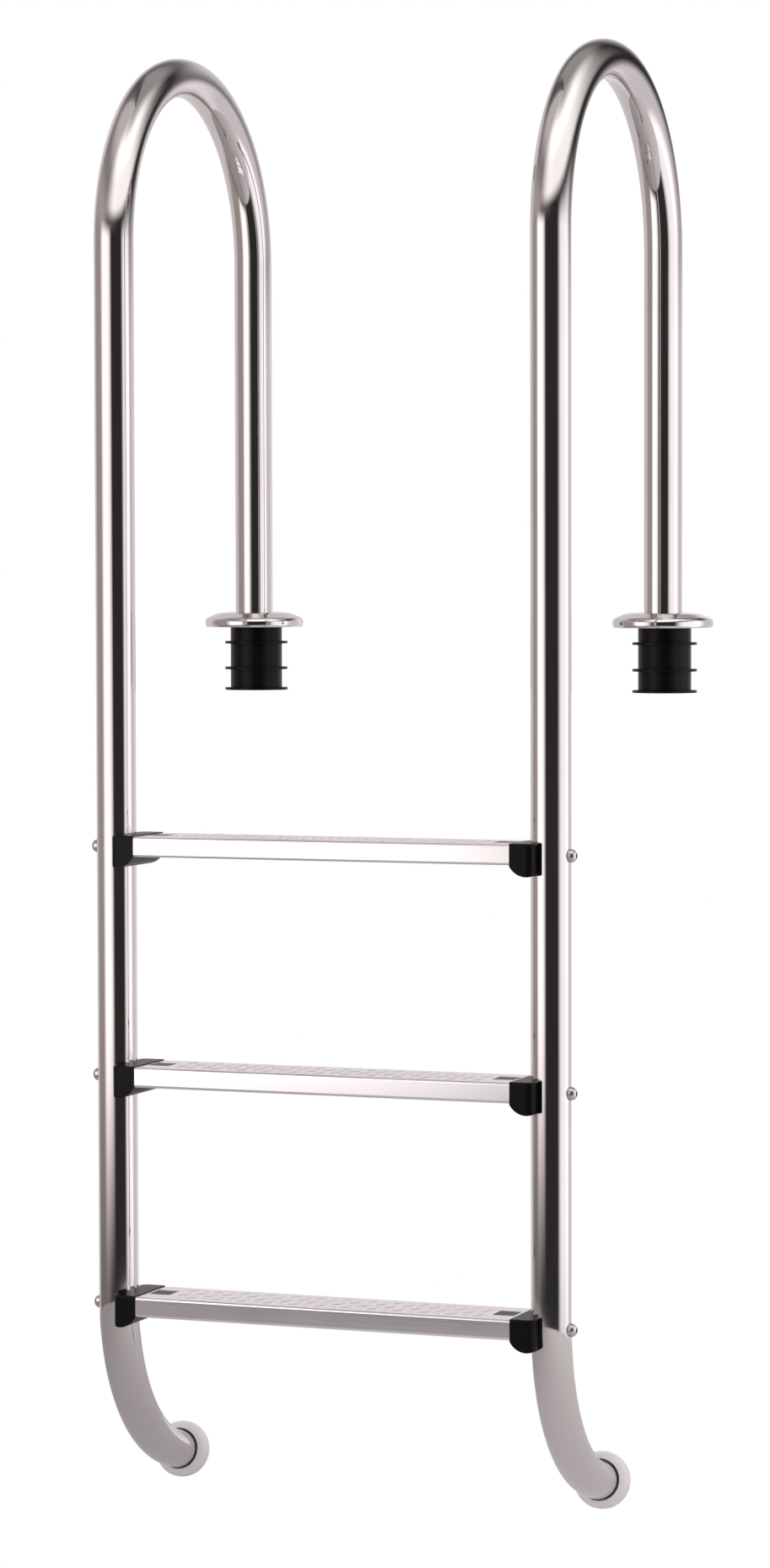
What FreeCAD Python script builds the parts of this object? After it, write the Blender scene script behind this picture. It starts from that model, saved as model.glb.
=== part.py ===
import FreeCAD, Part
import math
import os

# Pool ladder for a deck with two sockets at the pool's edge. Millimetres, +Z up.
# The origin is on the deck, midway between the two anchored legs. +X runs along the pool's edge
# from the left rail to the right rail as seen from the water, and +Y runs from the pool to the deck.

V = FreeCAD.Vector
UP = V(0, 0, 1)
ALONG = V(1, 0, 0)

# ---- driving dimensions ----
rail_spacing = 500.0        # between the axes of the two rails
tube_od = 43.0
tube_wall = 1.5
arch_span = 390.0           # from the front leg's axis to the anchored leg's axis
arch_start = 421.0          # height above the deck at which the top arch begins
bend_drop = 728.0           # depth below the deck at which the bottom bend begins
bend_radius = 201.0
bend_angle = 77.5           # how far the bottom bend turns towards the wall
tail_length = 10.0          # straight end after the bend, which carries the bumper

step_names = ("top", "middle", "bottom")
first_step_drop = 234.0     # depth of the top step's bolts below the deck
step_pitch = 250.0

tread_depth = 80.0
tread_height = 22.0
tread_sheet = 1.2
tread_edge_radius = 3.0
tread_lip = 12.0            # inward fold along the underside
tread_setback = 6.0         # the tread's middle lies this far behind the rail's axis
bolt_to_tread_top = 12.7
window_length = 24.0        # cut-out for the end cap's snap lug, along the tread
window_depth = 28.0
window_inset = 5.0          # from the tread's end

cap_bridge = 13.0           # plastic between the tube's side and the shoulder that the tread butts against
cap_outboard = 7.5          # outboard edge of the cap's wings, from the rail's axis
cap_proud = 1.0             # how far the cap stands out around the tread
cap_drop = 20.5             # depth of the cap's underside below the bolt
cap_curve_start = 10.0      # depth below the bolt at which the underside starts to curve in
cap_curve_length = 24.0     # how far the curve runs outboard
cap_curve_bow = 0.72        # how full that curve is between its two ends
cap_corner_radius = 9.0
cap_edge_radius = 2.2
tongue_length = 38.0        # part of the cap that plugs into the tread
tongue_wall = 3.0
tongue_web = 14.0           # solid part of the tongue next to the shoulder, which holds the nut
lug_recess = 0.3            # the lug's top lies this far below the tread's top

bolt_diameter = 8.0
bolt_head_diameter = 13.5
bolt_head_height = 5.2
bolt_head_rim = 1.2         # straight side under the dome
bolt_dome_radius_share = 0.78   # a point that the dome's arc passes through, as shares of its size
bolt_dome_height_share = 0.62
socket_key = 5.0            # across the flats of the key socket
socket_depth = 2.6
bolt_point = 2.0            # bolt end that stands out of the nut
washer_diameter = 14.5
washer_thickness = 1.6
nut_flats = 13.0
nut_thickness = 6.5
nut_chamfer_share = 0.55    # where the turned chamfer meets the nut's ends, as a share of its width
nut_chamfer_slope = 0.6
nut_offset = 3.0            # from the cap's shoulder to the nut

flange_reach = 35.5         # from the tube's surface out to the flange's rim
flange_height = 17.5
flange_shoulder = 7.0       # height of the rim's upright side
flange_sheet = 1.2
flange_neck = 4.0           # short collar around the tube
dish_points = ((0.05, 0.30), (0.20, 0.54), (0.46, 0.86))    # shares of the dish's reach and rise, rim to tube
dish_top_slope = 0.02       # the dish is nearly level where it meets the tube

anchor_wall = 8.5           # from the tube's surface to the body's, were the two on one axis
anchor_depth = 73.4
anchor_floor = 3.0
anchor_offset = 6.0         # the body's axis lies this far behind the tube's axis
anchor_drain = 12.0
rib_reach = 6.5             # how far the ribs stand out of the body
rib_thickness = 2.8
rib_depths = (18.0, 48.0, 72.0)   # depth of each rib's middle below the deck
gate_diameter = 5.0         # small moulded dimple on the side of the anchor
gate_depth = 32.0
gate_angle = 12.0
gate_recess = 0.8

wedge_width = 18.0
wedge_height = 40.0
wedge_top_depth = 8.0       # below the deck, with the clamp tight
wedge_thin = 9.2            # thickness at the top
wedge_thick = 10.8          # thickness at the bottom
wedge_travel = 8.0          # how far the bolt lets it down
wedge_bridge = 6.0          # plastic between the wedge's pocket and the deck
clamp_bolt_diameter = 6.0
clamp_bolt_length = 60.0
clamp_head_diameter = 10.0
clamp_head_height = 6.0
clamp_key = 5.0
clamp_key_depth = 3.0
clamp_bolt_setout = 5.3     # from the tube's surface to the bolt's axis

bumper_overhang = 9.8       # how far its widest part stands out of the tube's surface
bumper_thickness = 24.0
bumper_seat = 8.0           # how far the tube's end goes into the bumper
bumper_mouth_gap = 1.2      # open ring around the tube
bumper_spigot = 6.0         # plug beyond the mouth, inside the tube
bumper_face_overhang = 0.5  # how much further the flat face reaches than the tube's surface
bumper_lip = 0.6            # flat ring around the mouth
bumper_roundness = 8.0      # how much narrower its section is at the mouth than at its middle
bumper_fullness = 3         # power of the curve between them: a higher one gives a squarer section
bumper_stations = 8         # parts that the curve is laid out in
bumper_mouth_flare = 0.3    # lean of the curve where it leaves the mouth

# ---- clearances ----
slide_gap = 0.3             # tube in its anchor, wedge in its pocket
flange_gap = 0.4            # flange on its tube
saddle_gap = 0.15           # cap against the tube
tongue_gap = 0.2            # tongue in the tread, lug in its window
bolt_gap = 0.25             # bolts in their holes
thread_gap = 0.05
nut_gap = 0.15
spigot_gap = 0.2

# ---- worked out from them ----
tube_r = tube_od / 2
bore_r = tube_r - tube_wall
cap_inboard = tube_r + cap_bridge
flange_r = tube_r + flange_reach
anchor_r = tube_r + anchor_wall
rib_r = anchor_r + rib_reach
bumper_r = tube_r + bumper_overhang
bumper_face_r = tube_r + bumper_face_overhang
rail_x = rail_spacing / 2
front_y = -arch_span
socket_bottom = anchor_depth - anchor_floor
tread_front = front_y + tread_setback - tread_depth / 2
tread_end = rail_x - cap_inboard
washer_face = tube_r + washer_thickness
nut_start = cap_inboard + nut_offset
bolt_reach = nut_start + nut_thickness + bolt_point
hub_r = tube_r + flange_gap
OVERRUN = 5.0               # how far a cutting tool runs past the face it cuts
LEAST_FILLET = 0.5          # smallest rounding on the inner bends of folded sheet
NEAR = 0.01                 # how close two measures are when they count as the same


def cylinder(radius, length, base, direction):
    return Part.makeCylinder(radius, length, base, direction)


def block(x0, x1, y0, y1, z0, z1):
    return Part.makeBox(x1 - x0, y1 - y0, z1 - z0, V(x0, y0, z0))


def hexagon_prism(flats, length, base, direction):
    """A hexagonal prism with a corner straight above its axis when it lies along X."""
    corner = flats / math.sqrt(3)
    points = []
    for i in range(7):
        turn = math.radians(60 * i)
        points.append(V(corner * math.cos(turn), corner * math.sin(turn), 0))
    face = Part.Face(Part.makePolygon(points))
    prism = face.extrude(V(0, 0, length))
    # The prism's own Z turns to the direction asked for, and its own X stays upright for a bolt along X.
    if abs(direction.z) < 0.5:
        prism.rotate(V(0, 0, 0), V(0, 1, 0), 90 if direction.x > 0 else -90)
    prism.translate(base)
    return prism


def lathe(edges, base=V(0, 0, 0), direction=UP):
    """A full turn about Z of a closed outline in the XZ plane, stood on a base point."""
    outline = Part.Wire(Part.sortEdges(edges)[0])
    solid = Part.Face(outline).revolve(V(0, 0, 0), UP, 360)
    solid.Placement = FreeCAD.Placement(base, FreeCAD.Rotation(UP, direction))
    return solid


def rz(r, z):
    """A point of a lathe outline: radius and height."""
    return V(r, 0, z)


def segment(a, b):
    return Part.LineSegment(a, b).toShape()


def arc(a, via, b):
    return Part.Arc(a, via, b).toShape()


def chain(*points):
    return [segment(a, b) for a, b in zip(points, points[1:])]


def smooth(points, start, end):
    """A smooth curve through the points, with given directions at its ends."""
    curve = Part.BSplineCurve()
    curve.interpolate(Points=points, InitialTangent=start, FinalTangent=end)
    return curve.toShape()


def on_other_side(shape):
    """The same piece for the right rail."""
    return shape.mirror(V(0, 0, 0), ALONG)


# ---- rails ----
def bend_end():
    """Where the bottom bend stops, and which way the tube points there, for the left rail."""
    turn = math.radians(bend_angle)
    back = bend_radius * (1 - math.cos(turn))
    down = bend_radius * math.sin(turn)
    point = V(-rail_x, front_y + back, -bend_drop - down)
    return point, V(0, math.sin(turn), -math.cos(turn))


def tube_ring(centre, direction):
    outer = Part.makeCircle(tube_r, centre, direction)
    inner = Part.makeCircle(bore_r, centre, direction)
    return Part.makeFace([outer, inner], "Part::FaceMakerBullseye")


def rail():
    """One bent tube: anchored leg, arch, front leg, bottom bend and straight tail."""
    foot = V(-rail_x, 0, -socket_bottom)
    arch_end = V(-rail_x, front_y, arch_start)
    bend_start = V(-rail_x, front_y, -bend_drop)
    arch_centre = V(-rail_x, front_y / 2, arch_start)
    bend_centre = V(-rail_x, front_y + bend_radius, -bend_drop)
    tail_start, tail_way = bend_end()
    leg = tube_ring(foot, UP).extrude(V(0, 0, arch_start + socket_bottom))
    arch = tube_ring(V(-rail_x, 0, arch_start), UP).revolve(arch_centre, ALONG, 180)
    front = tube_ring(arch_end, UP).extrude(bend_start - arch_end)
    bend = tube_ring(bend_start, UP).revolve(bend_centre, ALONG, bend_angle)
    tail = tube_ring(tail_start, tail_way).extrude(tail_way * tail_length)
    tube = leg.fuse([arch, front, bend, tail]).removeSplitter()
    for level in range(len(step_names)):
        hole = cylinder(bolt_diameter / 2 + bolt_gap, tube_od + 2 * OVERRUN,
                        V(-rail_x - tube_r - OVERRUN, front_y, bolt_z(level)), ALONG)
        tube = tube.cut(hole)
    return tube


# ---- steps ----
def bolt_z(level):
    return -first_step_drop - step_pitch * level


def tread_section(inset):
    """The tread's outline, rounded along its long edges, as a bar over the tread's length."""
    top = bolt_to_tread_top - inset
    bar = block(-tread_end, tread_end, tread_front + inset, tread_front + tread_depth - inset,
                bolt_to_tread_top - tread_height + inset, top)
    long_edges = [e for e in bar.Edges if abs(e.BoundBox.XLength - 2 * tread_end) < NEAR]
    return bar.makeFillet(max(tread_edge_radius - inset, LEAST_FILLET), long_edges)


def window(gap):
    """The snap lug's window at the tread's left end, grown or shrunk by a gap."""
    start = -tread_end + window_inset
    middle = tread_front + tread_depth / 2
    return block(start - gap, start + window_length + gap,
                 middle - window_depth / 2 - gap, middle + window_depth / 2 + gap,
                 0, bolt_to_tread_top + OVERRUN)


def tread(level):
    """A folded sheet channel, open underneath between its two lips, with a window near each end."""
    bar = tread_section(0)
    bar = bar.cut(tread_section(tread_sheet))
    slot = block(-tread_end - OVERRUN, tread_end + OVERRUN,
                 tread_front + tread_lip, tread_front + tread_depth - tread_lip,
                 bolt_to_tread_top - tread_height - OVERRUN, 0)
    bar = bar.cut(slot)
    bar = bar.cut(window(0))
    bar = bar.cut(on_other_side(window(0)))
    bar.translate(V(0, 0, bolt_z(level)))
    return bar


def cap_saddle():
    """The block between the tread and the tube, hollowed to the tube's shape."""
    inboard = -rail_x + cap_inboard
    outboard = -rail_x + cap_outboard
    top = bolt_to_tread_top + cap_proud
    curve_end = inboard - cap_curve_length
    rise = cap_drop - cap_curve_start
    via = V(curve_end + cap_curve_length * cap_curve_bow, 0, -cap_drop + rise * (1 - cap_curve_bow))
    edges = chain(V(curve_end, 0, -cap_drop), V(outboard, 0, -cap_drop), V(outboard, 0, top),
                  V(inboard, 0, top), V(inboard, 0, -cap_curve_start))
    edges.append(arc(V(inboard, 0, -cap_curve_start), via, V(curve_end, 0, -cap_drop)))
    depth = tread_depth + 2 * cap_proud
    saddle = Part.Face(Part.Wire(edges)).extrude(V(0, depth, 0))
    saddle.translate(V(0, tread_front - cap_proud, 0))
    upright = [e for e in saddle.Edges
               if e.BoundBox.ZLength > cap_drop and abs(e.BoundBox.XMin - outboard) < NEAR
               and e.BoundBox.XLength < NEAR]
    saddle = saddle.makeFillet(cap_corner_radius, upright)
    rim = [e for e in saddle.Edges if e.BoundBox.ZLength < NEAR
           and (abs(e.BoundBox.ZMin - top) < NEAR or abs(e.BoundBox.ZMin + cap_drop) < NEAR)
           and e.BoundBox.XMax < inboard - NEAR]
    return saddle.makeFillet(cap_edge_radius, rim)


def tube_room(level):
    """The room that the front leg and its bottom bend take, with the saddle's clearance all round."""
    start = V(-rail_x, front_y, max(bolt_z(level), -bend_drop) + 2 * tread_height)
    bend_start = V(-rail_x, front_y, -bend_drop)
    ring = Part.Wire(Part.makeCircle(tube_r + saddle_gap, start, UP))
    leg = Part.Face(ring).extrude(bend_start - start)
    ring = Part.Wire(Part.makeCircle(tube_r + saddle_gap, bend_start, UP))
    bend = Part.Face(ring).revolve(V(-rail_x, front_y + bend_radius, -bend_drop), ALONG, bend_angle)
    return leg, bend


def cap_tongue():
    """The plug inside the tread: solid next to the shoulder, hollow from below further in."""
    inset = tread_sheet + tongue_gap
    start = -rail_x + cap_inboard
    front = tread_front + inset
    back = tread_front + tread_depth - inset
    low = bolt_to_tread_top - tread_height + inset
    high = bolt_to_tread_top - inset
    tongue = block(start, start + tongue_length, front, back, low, high)
    long_edges = [e for e in tongue.Edges if abs(e.BoundBox.XLength - tongue_length) < NEAR]
    tongue = tongue.makeFillet(max(tread_edge_radius - tread_sheet, LEAST_FILLET), long_edges)
    hollow = block(start + tongue_web, start + tongue_length - tongue_wall,
                   front + tongue_wall, back - tongue_wall, low - OVERRUN, high - tongue_wall)
    lug = window(-tongue_gap)
    below_top = block(-rail_x, 0, front, back, high - tongue_wall, bolt_to_tread_top - lug_recess)
    return tongue.cut(hollow).fuse(lug.common(below_top))


def end_cap(level):
    """The plastic end of a tread, with its bolt hole and the nut's slot from below."""
    cap = cap_saddle().fuse(cap_tongue()).removeSplitter()
    hole = cylinder(bolt_diameter / 2 + bolt_gap, bolt_reach + OVERRUN, V(-rail_x, front_y, 0), ALONG)
    cap = cap.cut(hole)
    nut_x = -rail_x + nut_start - nut_gap
    long = nut_thickness + 2 * nut_gap
    cap = cap.cut(hexagon_prism(nut_flats + 2 * nut_gap, long, V(nut_x, front_y, 0), ALONG))
    half = nut_flats / 2 + nut_gap
    cap = cap.cut(block(nut_x, nut_x + long, front_y - half, front_y + half, -cap_drop - OVERRUN, 0))
    cap.translate(V(0, 0, bolt_z(level)))
    for room in tube_room(level):
        cap = cap.cut(room)
    return cap


def step_bolt(level):
    """A dome-headed bolt through the tube and the end cap, with a key socket in its head."""
    head_r = bolt_head_diameter / 2
    shank_r = bolt_diameter / 2
    under = -washer_face
    rim = under - bolt_head_rim
    crown = under - bolt_head_height
    dome_height = bolt_head_height - bolt_head_rim
    dome_via = rz(head_r * bolt_dome_radius_share, rim - dome_height * bolt_dome_height_share)
    edges = chain(rz(0, crown), rz(0, bolt_reach), rz(shank_r, bolt_reach), rz(shank_r, under),
                  rz(head_r, under), rz(head_r, rim))
    edges.append(arc(rz(head_r, rim), dome_via, rz(0, crown)))
    bolt = lathe(edges, V(-rail_x, front_y, bolt_z(level)), ALONG)
    socket_at = V(-rail_x + crown - OVERRUN, front_y, bolt_z(level))
    return bolt.cut(hexagon_prism(socket_key, socket_depth + OVERRUN, socket_at, ALONG))


def step_washer(level):
    """A round washer whose inner face is hollowed to sit on the tube."""
    at = V(-rail_x - washer_face, front_y, bolt_z(level))
    washer = cylinder(washer_diameter / 2, washer_face, at, ALONG)
    hole = cylinder(bolt_diameter / 2 + bolt_gap, washer_face, at, ALONG)
    washer = washer.cut(hole)
    for room in tube_room(level):
        washer = washer.cut(room)
    return washer


def step_nut(level):
    at = V(-rail_x + nut_start, front_y, bolt_z(level))
    nut = hexagon_prism(nut_flats, nut_thickness, at, ALONG)
    chamfer = nut_flats * nut_chamfer_share
    slope = nut_flats / math.sqrt(3) - chamfer + thread_gap
    drop = slope * nut_chamfer_slope
    edges = chain(rz(0, 0), rz(chamfer, 0), rz(chamfer + slope, drop),
                  rz(chamfer + slope, nut_thickness - drop), rz(chamfer, nut_thickness),
                  rz(0, nut_thickness), rz(0, 0))
    nut = nut.common(lathe(edges, at, ALONG))
    hole = cylinder(bolt_diameter / 2 + thread_gap, nut_thickness + 2 * OVERRUN, at - ALONG * OVERRUN, ALONG)
    return nut.cut(hole)


# ---- deck flanges ----
def dish_curve(rim_r, shoulder, inner_r, height):
    """A pressed dish's upper side: a rounded shoulder, then a low crown that flattens at the tube."""
    reach = rim_r - inner_r
    rise = height - shoulder
    points = [rz(rim_r, shoulder)]
    for inward, upward in dish_points:
        points.append(rz(rim_r - reach * inward, shoulder + rise * upward))
    points.append(rz(inner_r, height))
    return smooth(points, V(0, 0, 1), V(-1, 0, dish_top_slope))


def escutcheon():
    """The dished cover over an anchor, with a short neck that follows the tube."""
    inner_rim_r = flange_r - flange_sheet
    neck_r = hub_r + flange_sheet
    under = flange_height - flange_sheet
    edges = [dish_curve(flange_r, flange_shoulder, hub_r, flange_height)]
    edges += chain(rz(hub_r, flange_height), rz(hub_r, flange_height - flange_neck),
                   rz(neck_r, flange_height - flange_neck), rz(neck_r, under))
    edges.append(dish_curve(inner_rim_r, flange_shoulder - flange_sheet / 2, neck_r, under))
    edges += chain(rz(inner_rim_r, flange_shoulder - flange_sheet / 2), rz(inner_rim_r, 0), rz(flange_r, 0),
                   rz(flange_r, flange_shoulder))
    return lathe(edges, V(-rail_x, 0, 0))


# ---- anchors ----
def wedge_bar(grow, top, bottom):
    """The wedge's outline from the tube's axis outwards, over a range of depths, grown all round."""
    slope = (wedge_thick - wedge_thin) / wedge_height
    face = tube_r + slide_gap
    back_top = face + wedge_thin + slope * (top - wedge_top_depth) + grow
    back_bottom = face + wedge_thin + slope * (bottom - wedge_top_depth) + grow
    outline = Part.makePolygon([V(0, 0, -top), V(0, back_top, -top), V(0, back_bottom, -bottom),
                                V(0, 0, -bottom), V(0, 0, -top)])
    bar = Part.Face(outline).extrude(V(wedge_width + 2 * grow, 0, 0))
    bar.translate(V(-rail_x - wedge_width / 2 - grow, 0, 0))
    return bar


def anchor_body():
    """The plastic socket that is set in the deck, with three ribs and a pocket for the wedge."""
    centre = V(-rail_x, anchor_offset, -anchor_depth)
    body = cylinder(anchor_r, anchor_depth, centre, UP)
    for depth in rib_depths:
        base = V(-rail_x, anchor_offset, -depth - rib_thickness / 2)
        body = body.fuse(cylinder(rib_r, rib_thickness, base, UP))
    body = body.removeSplitter()
    socket = cylinder(tube_r + slide_gap, anchor_depth, V(-rail_x, 0, -socket_bottom), UP)
    pocket = wedge_bar(slide_gap, wedge_bridge, wedge_top_depth + wedge_height + wedge_travel + slide_gap)
    drain = cylinder(anchor_drain / 2, anchor_depth, V(-rail_x, 0, -anchor_depth - OVERRUN), UP)
    bolt_y = tube_r + clamp_bolt_setout
    bolt_hole = cylinder(clamp_bolt_diameter / 2 + bolt_gap, clamp_bolt_length + OVERRUN,
                         V(-rail_x, bolt_y, -clamp_bolt_length), UP)
    body = body.cut([socket, pocket, drain, bolt_hole])
    turn = math.radians(gate_angle)
    way = V(math.sin(turn), -math.cos(turn), 0)
    gate_at = V(-rail_x, anchor_offset, -gate_depth) + way * (anchor_r - gate_recess)
    return body.cut(cylinder(gate_diameter / 2, OVERRUN, gate_at, way))


def anchor_wedge():
    """The tapered block that presses on the tube, hollowed to its shape and threaded for the bolt."""
    wedge = wedge_bar(0, wedge_top_depth, wedge_top_depth + wedge_height)
    wedge = wedge.cut(cylinder(tube_r + slide_gap, anchor_depth, V(-rail_x, 0, -anchor_depth), UP))
    bolt_y = tube_r + clamp_bolt_setout
    thread_r = clamp_bolt_diameter / 2 + thread_gap
    return wedge.cut(cylinder(thread_r, anchor_depth, V(-rail_x, bolt_y, -anchor_depth), UP))


def wedge_bolt():
    """A socket-head screw that stands in the wedge, its head on top of the anchor."""
    at = V(-rail_x, tube_r + clamp_bolt_setout, 0)
    shank = cylinder(clamp_bolt_diameter / 2, clamp_bolt_length, at - UP * clamp_bolt_length, UP)
    head = cylinder(clamp_head_diameter / 2, clamp_head_height, at, UP)
    key_at = at + UP * (clamp_head_height - clamp_key_depth)
    return shank.fuse(head).removeSplitter().cut(hexagon_prism(clamp_key, clamp_head_height, key_at, UP))


# ---- bumpers ----
def bumper():
    """A cup with a full round edge, plugged into the tube's end and seated around it."""
    tail_start, way = bend_end()
    mouth = tail_start + way * (tail_length - bumper_seat)
    mouth_r = tube_r + bumper_mouth_gap
    plug_r = bore_r - spigot_gap
    lip_r = mouth_r + bumper_lip
    edges = chain(rz(0, bumper_thickness), rz(0, -bumper_spigot), rz(plug_r, -bumper_spigot),
                  rz(plug_r, bumper_seat), rz(mouth_r, bumper_seat), rz(mouth_r, 0), rz(lip_r, 0))
    rim = [rz(lip_r, 0)]
    for station in range(1, bumper_stations):
        share = station / bumper_stations
        narrower = bumper_roundness * abs(2 * share - 1) ** bumper_fullness
        rim.append(rz(bumper_r - narrower, bumper_thickness * share))
    rim.append(rz(bumper_face_r, bumper_thickness))
    edges.append(smooth(rim, V(1, 0, bumper_mouth_flare), V(-1, 0, 0)))
    edges.append(segment(rz(bumper_face_r, bumper_thickness), rz(0, bumper_thickness)))
    return lathe(edges, mouth, way)


def save(shape, node):
    if not shape.isValid() or len(shape.Solids) != 1:
        raise ValueError(node + " isn't one sound solid but " + str(len(shape.Solids)))
    solid = shape.Solids[0]
    solid.exportStep(os.path.join("parts", node + ".step"))
    print(node, round(solid.Volume / 1000, 2), "cm3")


def save_pair(shape, node):
    save(shape, node + "_left")
    save(on_other_side(shape), node + "_right")


def main():
    os.makedirs("parts", exist_ok=True)
    save_pair(rail(), "rail")
    save_pair(escutcheon(), "escutcheon")
    save_pair(anchor_body(), "anchor_body")
    save_pair(anchor_wedge(), "anchor_wedge")
    save_pair(wedge_bolt(), "wedge_bolt")
    save_pair(bumper(), "bumper")
    for level, name in enumerate(step_names):
        save(tread(level), "tread_" + name)
        save_pair(end_cap(level), "end_cap_" + name)
        save_pair(step_bolt(level), "step_bolt_" + name)
        save_pair(step_washer(level), "step_washer_" + name)
        save_pair(step_nut(level), "step_nut_" + name)


main()
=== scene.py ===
# %% [markdown]
# # A stainless pool ladder
# The ladder hangs from two sockets in the deck, and its bottom bumpers lean on the pool's wall.
# A frame packed by the CAD step says where each piece goes, so the script starts by loading it.
# Everything here is in metres: +Z is up, +Y runs from the pool to the deck, and the deck is at Z = 0.

# %% Load the frame
import bpy
import bmesh
import math
from mathutils import Matrix, Vector


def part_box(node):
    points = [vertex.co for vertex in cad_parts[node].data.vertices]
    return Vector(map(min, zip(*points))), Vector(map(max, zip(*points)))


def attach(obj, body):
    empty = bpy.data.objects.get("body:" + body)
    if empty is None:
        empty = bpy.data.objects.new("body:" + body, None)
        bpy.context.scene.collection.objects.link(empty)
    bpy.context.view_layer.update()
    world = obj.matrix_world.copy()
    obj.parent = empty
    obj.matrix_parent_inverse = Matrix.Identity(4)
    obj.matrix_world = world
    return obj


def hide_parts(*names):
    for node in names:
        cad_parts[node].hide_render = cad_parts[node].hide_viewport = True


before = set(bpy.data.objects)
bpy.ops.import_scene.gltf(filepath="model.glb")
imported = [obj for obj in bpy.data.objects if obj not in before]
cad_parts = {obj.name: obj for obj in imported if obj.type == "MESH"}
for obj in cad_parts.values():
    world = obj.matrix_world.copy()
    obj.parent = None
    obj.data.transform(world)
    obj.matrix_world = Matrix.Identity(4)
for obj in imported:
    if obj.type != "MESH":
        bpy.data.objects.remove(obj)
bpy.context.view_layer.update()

MM = 0.001
SIDES = ("left", "right")
LEVELS = ("top", "middle", "bottom")

# %% [markdown]
# ## Sizes read from the frame
# A maker measures the finished tube and works outwards. Each rail's box gives the tube's diameter,
# the two legs' axes and the arch. Only what a box can't show is given: the wall and sheet
# thickness and the bottom bend.

# %% Sizes
rail_low, rail_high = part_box("rail_left")
tube_r = (rail_high.x - rail_low.x) / 2
rail_x = abs(rail_high.x + rail_low.x) / 2
wall = 1.5 * MM
sheet = 1.2 * MM
front_y = rail_low.y + tube_r
arch_r = -front_y / 2
arch_z = rail_high.z - tube_r - arch_r
foot_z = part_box("anchor_body_left")[0].z + 3 * MM
bend_z = -728 * MM
bend_r = 201 * MM
bend_turn = math.radians(77.5)
tail = 10 * MM
print("tube", round(2 * tube_r / MM, 1), "mm across")
print("legs", round(-front_y / MM, 1), "mm apart, arch from", round(arch_z, 3), "m up")

# %% [markdown]
# ## Small tools for shaping
# Three ways of making cover the whole ladder: a ring swept along a bent path for tubes,
# an outline turned on a lathe for round parts, and an outline pushed out to a length for folded sheet.
# All three share one helper that joins rows of points into faces.


# %% Rows of points into a mesh
def object_from(name, verts, faces):
    mesh = bpy.data.meshes.new(name)
    mesh.from_pydata([tuple(v) for v in verts], [], faces)
    mesh.validate()
    piece = bpy.data.objects.new(name, mesh)
    bpy.context.scene.collection.objects.link(piece)
    return piece


def skin(name, rows, closed_rows=True, closed_loop=False):
    """Faces between neighbouring rows. Rows can be rings, and the last row can join the first."""
    width = len(rows[0])
    verts = [point for row in rows for point in row]
    faces = []
    spans = len(rows) if closed_loop else len(rows) - 1
    steps = width if closed_rows else width - 1
    for i in range(spans):
        a = i * width
        b = ((i + 1) % len(rows)) * width
        for j in range(steps):
            k = (j + 1) % width
            faces.append((a + j, a + k, b + k, b + j))
    return object_from(name, verts, faces)


# %% [markdown]
# Real edges are never knife sharp, and the thin highlight along a rounded edge is what makes metal
# and plastic look solid. This helper rounds any corner of an outline with a true arc.


# %% Rounded outlines
def rounded(corners, steps=6):
    """An outline from (x, y, radius) corners; each corner becomes an arc of that radius."""
    points = []
    count = len(corners)
    for i, (x, y, radius) in enumerate(corners):
        here = Vector((x, y))
        before = Vector(corners[i - 1][:2]) - here
        after = Vector(corners[(i + 1) % count][:2]) - here
        half = before.angle(after) / 2
        reach = min(radius / math.tan(half), before.length * 0.49, after.length * 0.49) if radius else 0
        if reach < 1e-7:
            points.append((x, y))
            continue
        size = reach * math.tan(half)
        centre = here + (before.normalized() + after.normalized()).normalized() * (size / math.sin(half))
        start = here + before.normalized() * reach - centre
        turn = start.angle_signed(here + after.normalized() * reach - centre)
        for k in range(steps + 1):
            a = -turn * k / steps
            c, s = math.cos(a), math.sin(a)
            points.append((centre.x + start.x * c - start.y * s, centre.y + start.x * s + start.y * c))
    return points


def flowing(points, steps=8):
    """A smooth line through the points, as a bent batten would lie."""
    line = []
    last = len(points) - 1
    for i in range(last):
        p0, p1, p2, p3 = (Vector(points[max(0, min(last, i + k))]) for k in (-1, 0, 1, 2))
        for s in range(steps):
            t = s / steps
            curve = 2 * p1 + (p2 - p0) * t + (2 * p0 - 5 * p1 + 4 * p2 - p3) * t * t
            line.append(tuple((curve + (3 * p1 - p0 - 3 * p2 + p3) * t ** 3) / 2))
    return line + [tuple(points[last])]


# %% Lathe, sweep and finishing cuts
def stand(piece, base, direction=(0, 0, 1)):
    """Moves the piece's points so that its own Z runs along a direction from a base point."""
    turn = Vector((0, 0, 1)).rotation_difference(Vector(direction)).to_matrix().to_4x4()
    piece.data.transform(Matrix.Translation(Vector(base)) @ turn)
    return piece


def lathe(name, outline, around=96, base=(0, 0, 0), direction=(0, 0, 1)):
    """Turns a closed (radius, height) outline; points on the axis close by themselves."""
    rows = []
    for i in range(around):
        a = 2 * math.pi * i / around
        rows.append([(r * math.cos(a), r * math.sin(a), z) for r, z in outline])
    piece = stand(skin(name, rows, closed_loop=True), base, direction)
    tidy_mesh(piece, 1e-6)
    return piece


def tidy_mesh(piece, join=1e-6):
    """Joins points that meet, drops empty faces and turns every face outwards."""
    work = bmesh.new()
    work.from_mesh(piece.data)
    bmesh.ops.remove_doubles(work, verts=work.verts, dist=join)
    bmesh.ops.dissolve_degenerate(work, edges=work.edges, dist=join)
    bmesh.ops.recalc_face_normals(work, faces=work.faces)
    work.to_mesh(piece.data)
    work.free()


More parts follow.
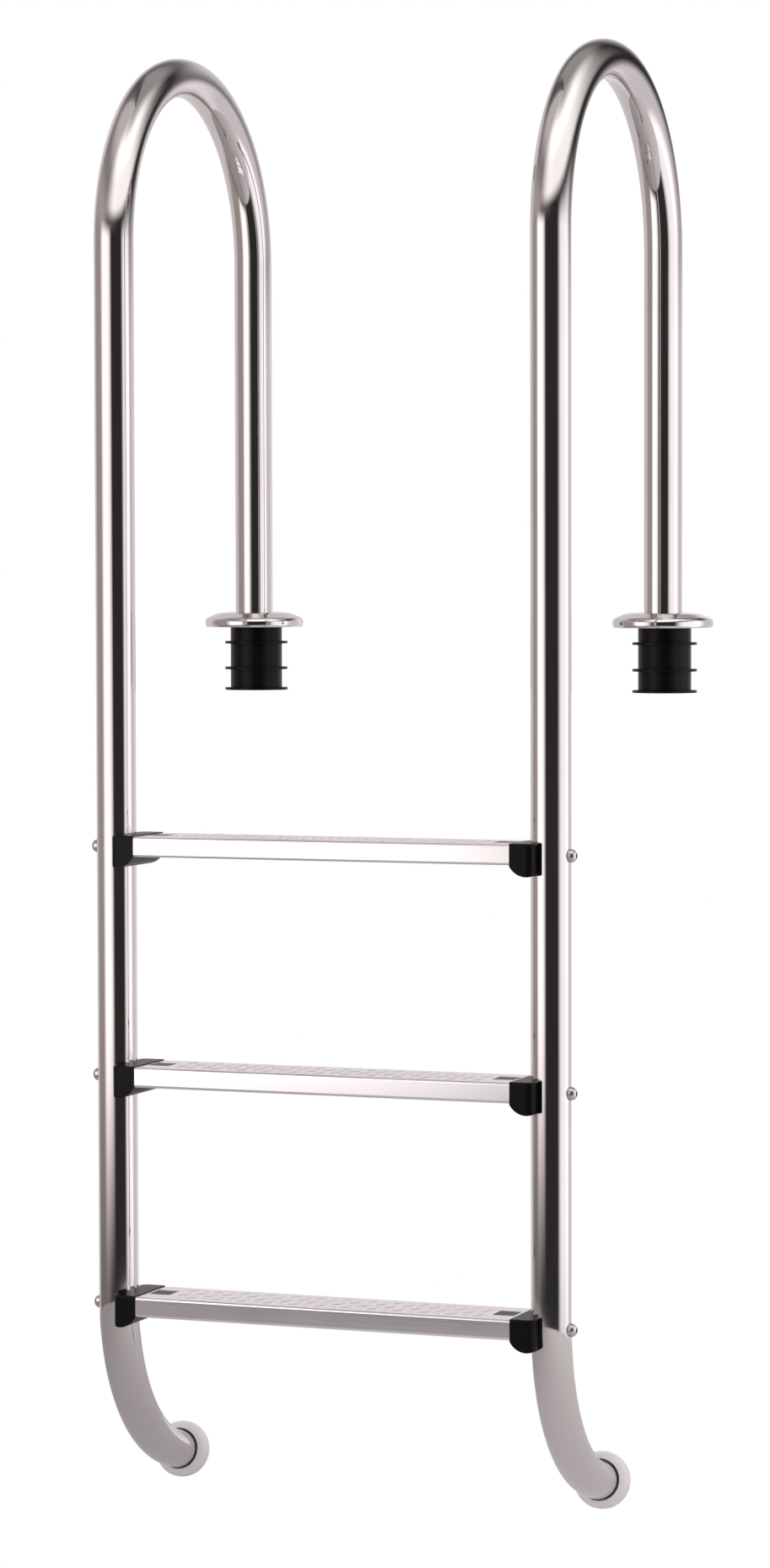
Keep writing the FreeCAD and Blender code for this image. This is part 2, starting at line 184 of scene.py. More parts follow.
def soften(piece, angle=40):
    """Smooth shading that keeps real edges crisp and flat faces flat."""
    piece.data.shade_smooth()
    piece.data.set_sharp_from_angle(angle=math.radians(angle))
    normals = piece.modifiers.new("flat_faces_stay_flat", "WEIGHTED_NORMAL")
    normals.keep_sharp = True
    normals.weight = 80
    return piece


def apply_all(piece):
    """Replaces the mesh by its modified self, so that the modifiers are done once."""
    seen = piece.evaluated_get(bpy.context.evaluated_depsgraph_get())
    done = bpy.data.meshes.new_from_object(seen)
    piece.modifiers.clear()
    piece.data = done
    return piece


def cut(piece, tool):
    """Cuts a tool's shape out of a piece, and throws the tool away."""
    step = piece.modifiers.new("cut", "BOOLEAN")
    step.operation = "DIFFERENCE"
    step.solver = "EXACT"
    step.object = tool
    apply_all(piece)
    bpy.data.objects.remove(tool)
    return piece


def block(name, low, high):
    x, y, z = zip(low, high)
    verts = [(x[i], y[j], z[k]) for i in (0, 1) for j in (0, 1) for k in (0, 1)]
    faces = [(0, 1, 3, 2), (4, 6, 7, 5), (0, 4, 5, 1), (2, 3, 7, 6), (0, 2, 6, 4), (1, 5, 7, 3)]
    return object_from(name, verts, faces)


def joined(name, pieces):
    """One piece from several."""
    work = bmesh.new()
    for part in pieces:
        work.from_mesh(part.data)
        bpy.data.objects.remove(part)
    mesh = bpy.data.meshes.new(name)
    work.to_mesh(mesh)
    work.free()
    piece = bpy.data.objects.new(name, mesh)
    bpy.context.scene.collection.objects.link(piece)
    return piece


def remade(name, node, edge=0.35 * MM, angle=35):
    """A fresh piece from a machined part's own faces, with its edges broken as a file would."""
    work = bmesh.new()
    work.from_mesh(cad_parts[node].data)
    bmesh.ops.remove_doubles(work, verts=work.verts, dist=1e-6)
    bmesh.ops.dissolve_limit(work, angle_limit=math.radians(0.6), verts=work.verts, edges=work.edges)
    mesh = bpy.data.meshes.new(name)
    work.to_mesh(mesh)
    work.free()
    piece = bpy.data.objects.new(name, mesh)
    bpy.context.scene.collection.objects.link(piece)
    if edge:
        bevel = piece.modifiers.new("broken_edges", "BEVEL")
        bevel.width = edge
        bevel.segments = 3
        bevel.limit_method = "ANGLE"
        bevel.angle_limit = math.radians(angle)
        bevel.use_clamp_overlap = True
        apply_all(piece)
    return piece


print("shaping tools ready")

# %% [markdown]
# ## Shader sums in plain Python
# A node tree is easier to read as sums. `Wire` wraps one socket, so `1 - mask` or `rough * 0.5 + 0.1`
# adds its own Math nodes. `Wire.node` makes every other node from its type, its settings and its sockets.


# %% The Wire class
class Wire:
    """One output socket, which takes part in sums with numbers and other sockets."""

    def __init__(self, socket):
        self.socket = socket

    @staticmethod
    def node(tree, kind, settings=None, sockets=None, output=0):
        """Adds a node: settings first, then values or links by socket name or number."""
        made = tree.nodes.new(kind)
        for key, value in (settings or {}).items():
            setattr(made, key, value)
        for key, value in (sockets or {}).items():
            if isinstance(value, Wire):
                tree.links.new(value.socket, made.inputs[key])
            else:
                made.inputs[key].default_value = value
        return Wire(made.outputs[output])

    def maths(self, operation, a, b=0.0):
        return Wire.node(self.socket.id_data, "ShaderNodeMath", {"operation": operation}, {0: a, 1: b})

    def __add__(self, other):
        return self.maths("ADD", self, other)

    def __radd__(self, other):
        return self.maths("ADD", other, self)

    def __sub__(self, other):
        return self.maths("SUBTRACT", self, other)

    def __rsub__(self, other):
        return self.maths("SUBTRACT", other, self)

    def __mul__(self, other):
        return self.maths("MULTIPLY", self, other)

    def __rmul__(self, other):
        return self.maths("MULTIPLY", other, self)

    def __truediv__(self, other):
        return self.maths("DIVIDE", self, other)

    def ramp(self, low, high):
        """0 below low, 1 above high and a smooth rise between."""
        settings = {"interpolation_type": "SMOOTHSTEP"}
        sockets = {"Value": self, "From Min": low, "From Max": high}
        return Wire.node(self.socket.id_data, "ShaderNodeMapRange", settings, sockets)


def new_finish(name):
    """An empty material with its Principled shader, and that shader's tree."""
    finish = bpy.data.materials.new(name)
    finish.use_nodes = True
    tree = finish.node_tree
    return finish, tree, tree.nodes["Principled BSDF"]


def feed(tree, shader, **sockets):
    """Sets sockets of the Principled shader by name, with _ for a space."""
    for key, value in sockets.items():
        socket = shader.inputs[key.replace("_", " ")]
        if isinstance(value, Wire):
            tree.links.new(value.socket, socket)
        else:
            socket.default_value = value


def noise(tree, where, scale, detail=3.0, roughness=0.5):
    settings = {"noise_dimensions": "3D"}
    sockets = {"Vector": where, "Scale": scale, "Detail": detail, "Roughness": roughness}
    return Wire.node(tree, "ShaderNodeTexNoise", settings, sockets)


def place(tree, output="Object"):
    return Wire.node(tree, "ShaderNodeTexCoord", None, None, output)


def stretched(tree, where, scale):
    """The same place with its axes stretched, for grain that runs one way."""
    return Wire.node(tree, "ShaderNodeVectorMath", {"operation": "MULTIPLY"}, {0: where, 1: scale})


def two_tone(tree, share, dark, light):
    """A colour between two, by a share from 0 to 1."""
    settings = {"data_type": "RGBA"}
    sockets = {"Factor": share, 6: (*dark, 1), 7: (*light, 1)}
    return Wire.node(tree, "ShaderNodeMix", settings, sockets, 2)


def bumps(tree, height, distance, strength=1.0):
    sockets = {"Height": height, "Distance": distance, "Strength": strength}
    return Wire.node(tree, "ShaderNodeBump", None, sockets)


print("shader tools ready")

# %% [markdown]
# ## Polished tube
# The rails are drawn tube, ground with belts and then buffed. Buffing leaves a mirror with a faint haze:
# very fine rings around the tube, and a slow waviness that makes reflections swim a little.
# A mirror has nearly no colour of its own, so the finish is mostly roughness and a hair of bump.
# The tube's own UVs run around and along it, so the rings stay square to the tube through every bend.


# %% Polished tube finish
def polished_tube():
    finish, tree, shader = new_finish("polished_tube")
    along = place(tree, "UV")
    rings = noise(tree, stretched(tree, along, (6, 1600, 0)), 1.0, 2)
    haze = noise(tree, place(tree), 9.0, 3)
    smears = noise(tree, place(tree), 40.0, 4, 0.65)
    marks = smears.ramp(0.62, 0.72)
    colour = two_tone(tree, haze, (0.60, 0.575, 0.56), (0.66, 0.64, 0.63))
    rough = 0.035 + haze * 0.03 + rings * 0.03 + marks * 0.03
    height = rings * 0.01 + haze * 0.9
    feed(tree, shader, Base_Color=colour, Metallic=1.0, Roughness=rough,
         Normal=bumps(tree, height, 0.02 * MM, 0.5))
    return finish


# %% [markdown]
# ## Pressed flange
# The deck flanges are pressed from sheet and buffed on a spindle, so their fine lines are circles
# about the tube. The distance from the leg's axis gives those circles on both flanges at once.


# %% Pressed flange finish
def circles(tree, centre_x, centre_y, pitch):
    """Fine circular turning marks about an upright axis at |x| = centre_x."""
    axes = Wire.node(tree, "ShaderNodeSeparateXYZ", None, {0: place(tree)})
    x, y, _ = [Wire(out) for out in axes.socket.node.outputs]
    dx = x.maths("ABSOLUTE", x) - centre_x
    dy = y - centre_y
    reach = x.maths("SQRT", dx * dx + dy * dy)
    settings = {"noise_dimensions": "1D"}
    return Wire.node(tree, "ShaderNodeTexNoise", settings, {"W": reach / pitch, "Scale": 1.0, "Detail": 2.0})


def polished_flange():
    finish, tree, shader = new_finish("polished_flange")
    rings = circles(tree, rail_x, 0.0, 0.5 * MM)
    haze = noise(tree, place(tree), 30.0, 3)
    colour = two_tone(tree, haze, (0.60, 0.575, 0.57), (0.68, 0.66, 0.65))
    feed(tree, shader, Base_Color=colour, Metallic=1.0, Roughness=0.055 + rings * 0.03 + haze * 0.04,
         Normal=bumps(tree, rings * 0.05 + haze, 0.02 * MM, 0.5))
    return finish


# %% [markdown]
# ## Brushed tread sheet
# The treads are folded from sheet with a long-grain brushed face. Noise with its Y and Z axes packed tight
# makes a grain that runs along the tread, and a slow cloudiness keeps the sheen from looking even.


# %% Brushed tread finish
def tread_steel():
    finish, tree, shader = new_finish("tread_steel")
    where = place(tree)
    grain = noise(tree, stretched(tree, where, (7, 900, 900)), 1.0, 3, 0.6)
    cloud = noise(tree, where, 14.0, 3)
    colour = two_tone(tree, grain * 0.6 + cloud * 0.4, (0.80, 0.785, 0.79), (0.92, 0.90, 0.91))
    rough = 0.13 + grain * 0.07 + cloud * 0.05
    feed(tree, shader, Base_Color=colour, Metallic=1.0, Roughness=rough,
         Normal=bumps(tree, grain, 0.03 * MM, 0.6))
    return finish


# %% [markdown]
# ## Bolts, nuts and washers
# Stainless fasteners come bright from the header, with a soft tumbled grain and tiny handling dents.


# %% Fastener finish
def bolt_steel():
    finish, tree, shader = new_finish("bolt_steel")
    grain = noise(tree, place(tree), 900.0, 4, 0.6)
    dents = noise(tree, place(tree), 260.0, 2).ramp(0.60, 0.70)
    colour = two_tone(tree, grain, (0.46, 0.44, 0.43), (0.62, 0.60, 0.59))
    feed(tree, shader, Base_Color=colour, Metallic=1.0, Roughness=0.16 + grain * 0.14 + dents * 0.1,
         Normal=bumps(tree, grain * 0.5 - dents * 0.5, 0.05 * MM, 0.5))
    return finish


# %% [markdown]
# ## Cast wedge
# The hidden wedges are cast and left as they come from the mould: dull, grainy and a little pitted.


# %% Cast wedge finish
def wedge_steel():
    finish, tree, shader = new_finish("wedge_steel")
    sand = noise(tree, place(tree), 700.0, 5, 0.7)
    pits = noise(tree, place(tree), 300.0, 2).ramp(0.63, 0.70)
    colour = two_tone(tree, sand, (0.34, 0.33, 0.32), (0.50, 0.49, 0.47))
    feed(tree, shader, Base_Color=colour, Metallic=0.9, Roughness=0.42 + sand * 0.2,
         Normal=bumps(tree, sand * 0.7 - pits, 0.18 * MM, 0.7))
    return finish


# %% [markdown]
# ## Black moulded plastic
# The end caps and anchors are moulded in black plastic with a fine spark-eroded texture.
# The texture is a tiny bump, and small rubbed patches are slightly smoother and greyer.


# %% Black plastic finish
def black_plastic():
    finish, tree, shader = new_finish("black_plastic")
    grain = noise(tree, place(tree), 1500.0, 3, 0.6)
    flow = noise(tree, place(tree), 55.0, 3)
    rubbed = noise(tree, place(tree), 120.0, 4, 0.7).ramp(0.60, 0.75)
    colour = two_tone(tree, flow * 0.5 + rubbed * 0.5, (0.0022, 0.0024, 0.0032), (0.005, 0.005, 0.006))
    feed(tree, shader, Base_Color=colour, Roughness=0.30 + grain * 0.08 - rubbed * 0.06,
         Specular_IOR_Level=0.12, Normal=bumps(tree, grain, 0.05 * MM, 0.6))
    return finish


# %% [markdown]
# ## White bumper plastic
# The bumpers are a soft white plastic with a dull sheen. A faint cloudiness and small scuffs
# keep them from looking like chalk.


# %% White bumper finish
def white_plastic():
    finish, tree, shader = new_finish("white_plastic")
    cloud = noise(tree, place(tree), 38.0, 3)
    scuffs = noise(tree, stretched(tree, place(tree), (1, 3, 1)), 170.0, 4, 0.7).ramp(0.64, 0.76)
    share = cloud * 0.6 + 0.3 - scuffs * 0.3
    colour = two_tone(tree, share, (0.66, 0.62, 0.66), (0.80, 0.76, 0.81))
    feed(tree, shader, Base_Color=colour, Roughness=0.42 + cloud * 0.1 + scuffs * 0.15,
         Normal=bumps(tree, cloud + scuffs * 0.3, 0.12 * MM, 0.5))
    return finish


FINISHES = {}
for maker in (polished_tube, polished_flange, tread_steel, bolt_steel,
              wedge_steel, black_plastic, white_plastic):
    FINISHES[maker.__name__] = maker()
print("finishes", sorted(FINISHES))


# %% Dress a piece and tie it to its body
def dress(piece, finish, body, *stands_for):
    """Gives a piece its finish, lets it ride on its body and hides the parts it stands for."""
    piece.data.materials.clear()
    piece.data.materials.append(FINISHES[finish])
    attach(piece, body)
    if stands_for:
        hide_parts(*stands_for)
    return piece


# %% [markdown]
# ## Rails
# Each rail is one length of tube: a foot in its anchor, a leg, a half-circle arch, the long front leg,
# and a bend that carries the bumper back to the wall. A bender rolls it cold, so the section stays round.
# A mirror shows every flat facet, so the ring has many points and the bends are cut into small turns.


# %% Rail path
def rail_path(x):
    """Centre points and directions along one rail, from its foot to its tail."""
    path = [(Vector((x, 0, foot_z)), Vector((0, 0, 1)))]
    arch_steps = 96
    for i in range(arch_steps + 1):
        a = math.pi * i / arch_steps
        centre = Vector((x, -arch_r + arch_r * math.cos(a), arch_z + arch_r * math.sin(a)))
        path.append((centre, Vector((0, -math.sin(a), math.cos(a)))))
    bend_steps = 48
    for i in range(bend_steps + 1):
        a = bend_turn * i / bend_steps
        centre = Vector((x, front_y + bend_r * (1 - math.cos(a)), bend_z - bend_r * math.sin(a)))
        path.append((centre, Vector((0, math.sin(a), -math.cos(a)))))
    end, way = path[-1]
    path.append((end + way * tail, way))
    return path


def ring_at(centre, way, radius, around):
    side = Vector((1, 0, 0))
    other = way.cross(side)
    turns = (2 * math.pi * j / around for j in range(around))
    return [centre + side * (radius * math.cos(a)) + other * (radius * math.sin(a)) for a in turns]


# %% Sweep the tube
def swept_tube(name, path, around=96):
    """Outside, rounded rims and inside of a tube as one closed skin, with UVs in metres."""
    rim = 0.4 * MM
    inner = tube_r - wall
    rows = []
    lengths = []
    length = 0.0
    last = path[0][0]
    for centre, way in path:
        length += (centre - last).length
        last = centre
        rows.append(ring_at(centre, way, tube_r, around))
        lengths.append(length)
    first, first_way = path[0]
    end, end_way = path[-1]
    rows[0] = ring_at(first + first_way * rim, first_way, tube_r, around)
    rows[-1] = ring_at(end - end_way * rim, end_way, tube_r, around)
    rows.append(ring_at(end, end_way, tube_r - rim, around))
    rows.append(ring_at(end, end_way, inner + rim, around))
    rows.append(ring_at(end - end_way * rim, end_way, inner, around))
    for centre, way in reversed(path[1:-1]):
        rows.append(ring_at(centre, way, inner, around))
    rows.append(ring_at(first + first_way * rim, first_way, inner, around))
    rows.append(ring_at(first, first_way, inner + rim, around))
    rows.append(ring_at(first, first_way, tube_r - rim, around))
    tube = skin(name, rows, closed_loop=True)
    layer = tube.data.uv_layers.new(name="around_and_along")
    for loop in tube.data.loops:
        row, column = divmod(loop.vertex_index, around)
        turn = 2 * math.pi * column / around
        along = lengths[row] if row < len(lengths) else 0.0
        layer.data[loop.index].uv = (math.cos(turn), along)
    tube.data.flip_normals()
    return soften(tube)


for side, x in (("left", -rail_x), ("right", rail_x)):
    rail = swept_tube("tube_" + side, rail_path(x))
    dress(rail, "polished_tube", "ladder", "rail_" + side)
    print(rail.name, len(rail.data.polygons), "faces")

# %% [markdown]
# ## Deck flanges
# A flange is a dished cover that slides on the leg and hides the anchor. Its foot curls in a little,
# its rim stands upright, and a round shoulder runs into a low crown. The outline is drawn once
# on the outside and once a sheet's thickness inside, and turned on the lathe.


# %% Flange
def dish_line(rim_r, shoulder, inner_r, height):
    """The pressed crown from the rim to the tube, as shares of its reach inwards and its rise."""
    reach = rim_r - inner_r
    rise = height - shoulder
    line = [(rim_r, shoulder * 0.7), (rim_r, shoulder)]
    for inward, upward in ((0.05, 0.30), (0.20, 0.54), (0.46, 0.86), (0.90, 0.99)):
        line.append((rim_r - reach * inward, shoulder + rise * upward))
    return flowing(line + [(inner_r, height)], 10)


def flange(side, x):
    low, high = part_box("escutcheon_" + side)
    shoulder = 7 * MM
    neck_length = 4 * MM
    curl_in = 1.6 * MM
    curl_up = 4 * MM
    soft = 0.3 * MM
    height = high.z
    rim_r = (high.x - low.x) / 2
    hub = tube_r + 0.4 * MM
    curl_r = (curl_in ** 2 + curl_up ** 2) / (2 * curl_in)
    curl_turn = math.asin(curl_up / curl_r)

    def curl(radius):
        turns = [curl_turn * k / 8 for k in range(9)]
        return [(rim_r - curl_r + radius * math.cos(a), curl_up - radius * math.sin(a)) for a in turns]

    outside = dish_line(rim_r, shoulder, hub + soft, height)
    inside = dish_line(rim_r - sheet, shoulder - sheet / 2, hub + sheet, height - sheet)
    neck = [(hub, height - soft), (hub, height - neck_length), (hub + sheet, height - neck_length)]
    outline = curl(curl_r)[::-1] + outside + neck + inside[::-1] + curl(curl_r - sheet)
    piece = lathe("flange_" + side, outline, 128, (x, 0, 0))
    return dress(soften(piece), "polished_flange", "escutcheon_" + side, "escutcheon_" + side)


for side, x in (("left", -rail_x), ("right", rail_x)):
    print(flange(side, x).name, "turned")

# %% [markdown]
# ## Treads
# A tread is one strip of sheet, folded down at the front and back and turned in again underneath.
# A window near each end takes the end cap's snap lug. The top is embossed with short slanting marks, raised
# a little over half a millimetre, that alternate left and right so that wet feet grip in every direction.


# %% Folded channel
def channel_outline(front, back, top, bottom):
    """The folded strip's section as one closed line, round at every fold."""
    lip = 12 * MM
    fold = 3 * MM
    inner = fold - sheet
    edge = 0.5 * MM
    return rounded([(front + lip, bottom, edge), (front, bottom, fold), (front, top, fold),
                    (back, top, fold), (back, bottom, fold), (back - lip, bottom, edge),
                    (back - lip, bottom + sheet, edge), (back - sheet, bottom + sheet, inner),
                    (back - sheet, top - sheet, inner), (front + sheet, top - sheet, inner),
                    (front + sheet, bottom + sheet, inner), (front + lip, bottom + sheet, edge)], 8)


def channel(name, low, high):
    outline = channel_outline(low.y, high.y, high.z, low.z)
    rows = [[(x, y, z) for y, z in outline] for x in (low.x, high.x)]
    piece = skin(name, rows)
    count = len(outline)
    work = bmesh.new()
    work.from_mesh(piece.data)
    work.verts.ensure_lookup_table()
    work.faces.new([work.verts[i] for i in range(count)])
    work.faces.new([work.verts[count + i] for i in reversed(range(count))])
    bmesh.ops.recalc_face_normals(work, faces=work.faces)
    work.to_mesh(piece.data)
    work.free()
    return piece


# %% Grip marks
def grip_mark(length, width, height, slope=5):
    """One raised mark: a pill shape that swells out of the sheet."""
    around = 20
    rows = []
    for k in range(slope + 1):
        a = math.pi / 2 * k / slope
        shrink = width / 2 * (1 - math.cos(a)) if k < slope else width / 2 * 0.999
        lift = height * math.sin(a)
        row = []
        for j in range(around):
            t = 2 * math.pi * j / around
            end = (length - width) / 2 * (1 if math.cos(t) > 0 else -1)
            reach = width / 2 - shrink
            row.append((end + reach * math.cos(t), reach * math.sin(t), lift))
        rows.append(row)
    verts = [p for row in rows for p in row]
    faces = []
    for i in range(slope):
        for j in range(around):
            k = (j + 1) % around
            faces.append((i * around + j, i * around + k, (i + 1) * around + k, (i + 1) * around + j))
    faces.append([slope * around + j for j in range(around)])
    return verts, faces


def grip_pattern(name, low, high, top):
    """Marks in staggered rows over the tread's top, clear of the folds and the windows."""
    pitch = 15 * MM
    columns = int((high.x - low.x) // pitch)
    lines = int((high.y - low.y) // pitch)
    mark, mark_faces = grip_mark(12 * MM, 3.6 * MM, 0.7 * MM)
    verts, faces = [], []
    sink = 0.06 * MM
    for i in range(columns + 1):
        for j in range(lines + 1):
            x = (low.x + high.x) / 2 + (i - columns / 2) * pitch
            y = (low.y + high.y) / 2 + (j - lines / 2) * pitch
            turn = math.radians(45 if (i + j) % 2 else -45)
            c, s = math.cos(turn), math.sin(turn)
            first = len(verts)
            verts += [(x + p[0] * c - p[1] * s, y + p[0] * s + p[1] * c, top + p[2] - sink) for p in mark]
            faces += [[first + k for k in face] for face in mark_faces]
    return object_from(name, verts, faces)


# %% Make the three treads
def tread(level):
    low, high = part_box("tread_" + level)
    middle = (low.y + high.y) / 2
    piece = channel("channel", low, high)
    window_length = 24 * MM
    window_inset = 5 * MM
    half = 14 * MM
    for start in (low.x + window_inset, high.x - window_inset - window_length):
        near = (start, middle - half, low.z + 10 * MM)
        far = (start + window_length, middle + half, high.z + MM)
        cut(piece, block("window_tool", near, far))
    margin = Vector((40 * MM, 11 * MM, 0))
    marks = grip_pattern("marks", low + margin, high - margin, high.z)
    piece = joined("step_" + level, [piece, marks])
    soften(piece, 35)
    return dress(piece, "tread_steel", "ladder", "tread_" + level)


for level in LEVELS:
    made = tread(level)
    print(made.name, len(made.data.polygons), "faces")

# %% [markdown]
# ## Bumpers
# A bumper is a soft cup pushed over the tube's end, with a full round edge that can't scratch a liner.
# An open ring is left around the tube at the mouth, and a plug inside the tube holds the cup on.


# %% Bumper
def bumper(side, x):
    end, way = rail_path(x)[-1]
    seat = 8 * MM
    mouth = end - way * seat
    mouth_r = tube_r + 1.2 * MM
    lip = 0.6 * MM
    thick = 24 * MM
    wide = tube_r + 9.8 * MM
    face_r = tube_r + 0.5 * MM
    roundness = 8 * MM
    plug = tube_r - wall - 0.2 * MM
    rim = [(mouth_r + lip, 0.0)]
    for step in range(1, 16):
        share = step / 16
        rim.append((wide - roundness * abs(2 * share - 1) ** 3, thick * share))
    rim = flowing(rim + [(face_r, thick)], 3)
    outline = [(0.0, thick), (0.0, -6 * MM), (plug - MM, -6 * MM), (plug, -5 * MM), (plug, seat),
               (mouth_r, seat), (mouth_r, 1.0 * MM), (mouth_r + 0.2 * MM, 0.3 * MM)]
    outline += rim
    piece = lathe("cup_" + side, outline, 96, mouth, way)
    return dress(soften(piece, 50), "white_plastic", "ladder", "bumper_" + side)


for side, x in (("left", -rail_x), ("right", rail_x)):
    print(bumper(side, x).name, "turned")

# %% [markdown]
# ## End caps, anchors, wedges and fasteners
# These are machined or moulded shapes that the frame already holds exactly. Each one is copied, and its
# edges are broken with a small bevel, because the highlight on an edge tells the eye what it is made of.

# %% Remade parts
for side in SIDES:
    anchor = remade("socket_" + side, "anchor_body_" + side, 0.4 * MM)
    dress(soften(anchor), "black_plastic", "anchors", "anchor_body_" + side)
    wedge = remade("clamp_" + side, "anchor_wedge_" + side)
    dress(soften(wedge), "wedge_steel", "wedge_" + side, "anchor_wedge_" + side)
    screw = remade("clamp_screw_" + side, "wedge_bolt_" + side, 0.25 * MM)
    dress(soften(screw), "bolt_steel", "wedge_bolt_" + side, "wedge_bolt_" + side)
    for level in LEVELS:
        tag = level + "_" + side
        cap = remade("saddle_" + tag, "end_cap_" + tag, 0.3 * MM)
        dress(soften(cap), "black_plastic", "ladder", "end_cap_" + tag)
        for kind in ("step_bolt", "step_washer", "step_nut"):
            part = remade(kind.replace("step_", "") + "_" + tag, kind + "_" + tag, 0.2 * MM)
            dress(soften(part), "bolt_steel", "ladder", kind + "_" + tag)
print("remade parts done")

# %% [markdown]
# ## The light tent
# Bright metal shows only what stands around it, so a studio surrounds it with a tent. This one is a
# round wall with a dome on top, and its lamps are soft patches of light painted on the inside:
# a strip to the left of the lens, a tall panel on the right, a big box overhead and a pale wall behind.
# Between them it stays dark, because dark edges are what make a tube look round and polished.


# %% One soft lamp on the tent
def lamp(tree, way, facing, half_width, softness, lowest, highest, blur, colour):
    """Light from a patch. Facing is degrees from the pool side towards the right rail's side."""
    x, y, z = way
    turn = math.radians(facing)
    flat = x.maths("SQRT", x * x + y * y) + 1e-4
    ahead = (x * math.sin(turn) - y * math.cos(turn)) / flat
    edge = math.cos(math.radians(min(half_width + softness, 179)))
    core = math.cos(math.radians(max(half_width - softness, 1)))
    height = z.ramp(lowest - blur, lowest + blur) * (1 - z.ramp(highest - blur, highest + blur))
    share = ahead.ramp(edge, core) * height
    return Wire.node(tree, "ShaderNodeVectorMath", {"operation": "SCALE"}, {0: colour, "Scale": share})


# %% All the lamps together
def tent_light(tree):
    """All the lamps added up, seen from the tent's middle."""
    spot = Wire.node(tree, "ShaderNodeNewGeometry")
    middle = (0.0, front_y, 0.35)
    arm = Wire.node(tree, "ShaderNodeVectorMath", {"operation": "SUBTRACT"}, {0: spot, 1: middle})
    arm = Wire.node(tree, "ShaderNodeVectorMath", {"operation": "NORMALIZE"}, {0: arm})
    axes = Wire.node(tree, "ShaderNodeSeparateXYZ", None, {0: arm})
    way = [Wire(out) for out in axes.socket.node.outputs]
    # Facing, half width and softness in degrees; lowest, highest and blur as shares of the height; colour.
    lamps = {
        "strip left of the lens": (-32, 18, 16, -0.60, 0.22, 0.08, (1.62, 1.52, 1.51)),
        "dim fill on the left": (-74, 30, 26, -0.66, 0.40, 0.20, (0.42, 0.36, 0.34)),
        "panel on the right": (97, 21, 16, -0.72, 0.22, 0.12, (1.42, 1.36, 1.40)),
        "wall behind on the right": (145, 28, 18, -0.90, 0.14, 0.14, (0.82, 0.76, 0.80)),
        "wall behind on the left": (-148, 38, 16, -0.90, 0.60, 0.16, (0.76, 0.70, 0.72)),
        "box overhead": (58, 66, 38, 0.38, 0.95, 0.08, (1.44, 1.40, 1.38)),
        "dim fill above the left": (-50, 60, 35, 0.30, 1.20, 0.15, (0.30, 0.27, 0.27)),
        "top of the dome": (60, 170, 10, 0.74, 1.20, 0.12, (0.38, 0.36, 0.36)),
    }
    total = (0.036, 0.033, 0.034)
    for setting in lamps.values():
        patch = lamp(tree, way, *setting)
        total = Wire.node(tree, "ShaderNodeVectorMath", {"operation": "ADD"}, {0: patch, 1: total})
    return total


# %% Tent, floor and room
TENT_RADIUS = 1.45
MAT_Z = -0.98
FLOOR_Z = -1.0


def glowing(name, colour):
    """A dead black surface with an even glow, or with one that a function paints."""
    glow, tree, shader = new_finish(name)
    light = colour(tree) if callable(colour) else (*colour, 1)
    feed(tree, shader, Base_Color=(0, 0, 0, 1), Specular_IOR_Level=0.0, Roughness=1.0,
         Emission_Color=light, Emission_Strength=1.0)
    return glow


def light_tent():
    radius = TENT_RADIUS
    floor = MAT_Z
    springing = 0.55
    outline = [(radius, floor + (springing - floor) * i / 8) for i in range(9)]
    for i in range(1, 13):
        a = math.pi / 2 * i / 12
        outline.append((radius * math.cos(a) if i < 12 else 0.002, springing + radius * math.sin(a)))
    rows = []
    for i in range(96):
        a = 2 * math.pi * i / 96
        rows.append([(r * math.cos(a), front_y + r * math.sin(a), z) for r, z in outline])
    tent = skin("light_tent", rows, closed_rows=False, closed_loop=True)
    tent.data.materials.append(glowing("tent_glow", tent_light))
    tent.visible_camera = False
    tent.visible_diffuse = False
    tent.visible_shadow = False


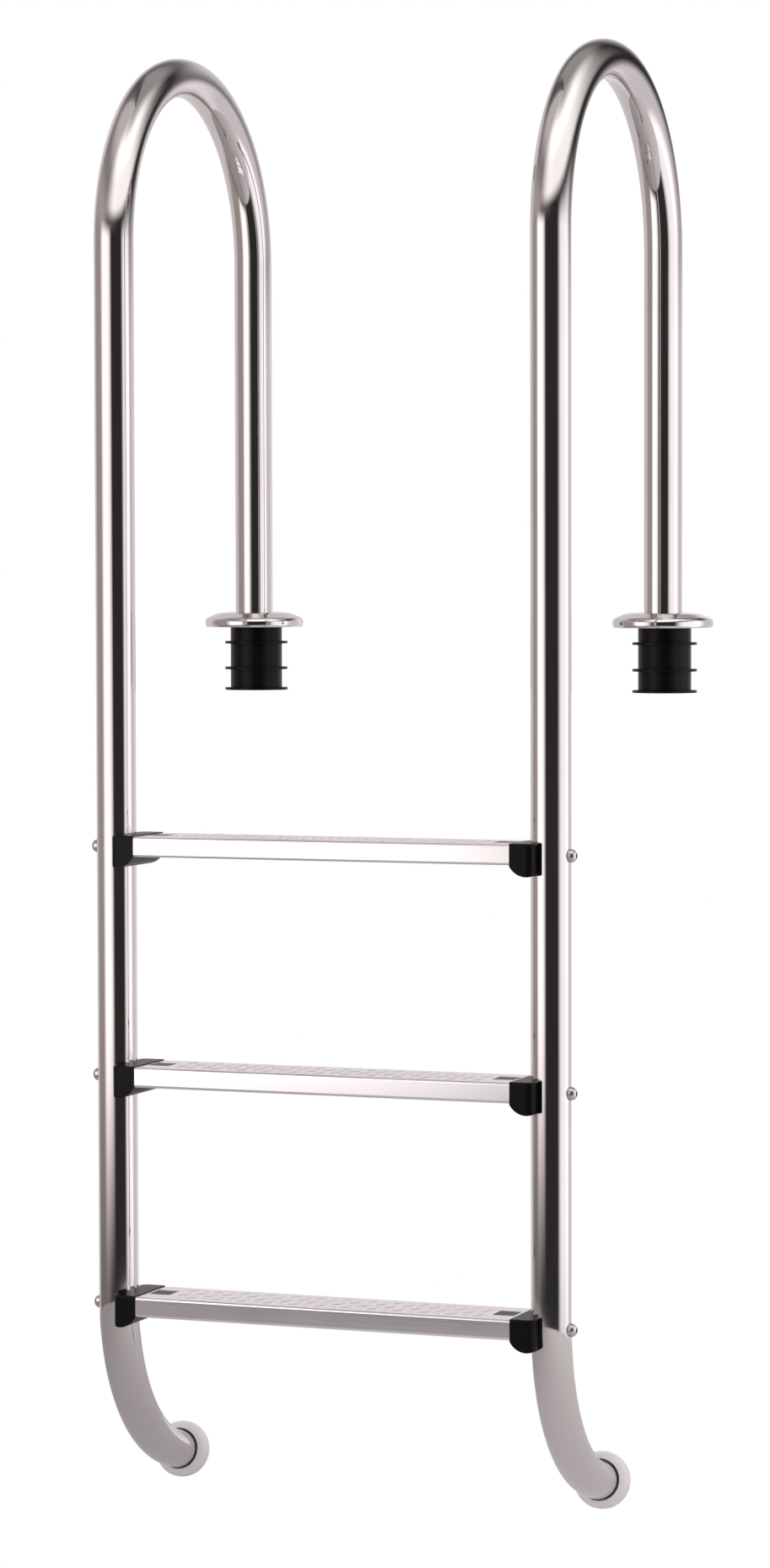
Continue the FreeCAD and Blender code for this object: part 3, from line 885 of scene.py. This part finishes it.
def mat_light(tree):
    """The dull mat under the ladder as a painted glow: painted light in place of the lamps' light on it,
    brighter towards the right-hand panel.
    """
    spot = Wire.node(tree, "ShaderNodeNewGeometry")
    axes = Wire.node(tree, "ShaderNodeSeparateXYZ", None, {0: spot})
    return two_tone(tree, axes.ramp(-0.9, 1.3), (0.42, 0.39, 0.395), (0.84, 0.78, 0.80))


def flat_square(name, size, z, glow):
    near, far = front_y - size, front_y + size
    corners = [(-size, near, z), (size, near, z), (size, far, z), (-size, far, z)]
    square = object_from(name, corners, [(0, 1, 2, 3)])
    square.data.materials.append(glow)
    square.visible_shadow = False
    return square


light_tent()
# Painted light: the mat is no lamp, and its glow stands in for the tent's light falling on it.
mat = flat_square("studio_mat", TENT_RADIUS, MAT_Z, glowing("mat_glow", mat_light))
mat.visible_camera = False
floor = flat_square("floor", 30.0, FLOOR_Z, glowing("pale_floor", (1, 1, 1)))
floor.visible_diffuse = False
floor.visible_glossy = False
world = bpy.data.worlds.new("white_room")
world.use_nodes = True
world.node_tree.nodes["Background"].inputs["Color"].default_value = (1, 1, 1, 1)
bpy.context.scene.world = world
bpy.context.scene.view_settings.view_transform = "Standard"
print("studio ready")

# %% [markdown]
# ## Camera
# A long lens from the pool side, a little right of the ladder and just above the deck,
# keeps the rails nearly parallel. The three turns below are how far it points left, down and over.

# %% Camera
lens = bpy.data.cameras.new("lens")
lens.sensor_width = 36.0
lens.lens = 101.98
lens.clip_end = 100.0
camera = bpy.data.objects.new("camera", lens)
bpy.context.scene.collection.objects.link(camera)
yaw, pitch, roll = -0.3677, -0.0472, -0.0024
ahead = Vector((math.sin(yaw) * math.cos(pitch), math.cos(yaw) * math.cos(pitch), math.sin(pitch)))
right = Vector((math.cos(yaw), -math.sin(yaw), 0))
above = right.cross(ahead)
across = right * math.cos(roll) + above * math.sin(roll)
upward = above * math.cos(roll) - right * math.sin(roll)
turn = Matrix((across, upward, -ahead)).transposed().to_4x4()
camera.matrix_world = Matrix.Translation((1.7586, -4.7903, 0.0610)) @ turn
bpy.context.scene.camera = camera
print("camera", tuple(round(c, 3) for c in camera.location))
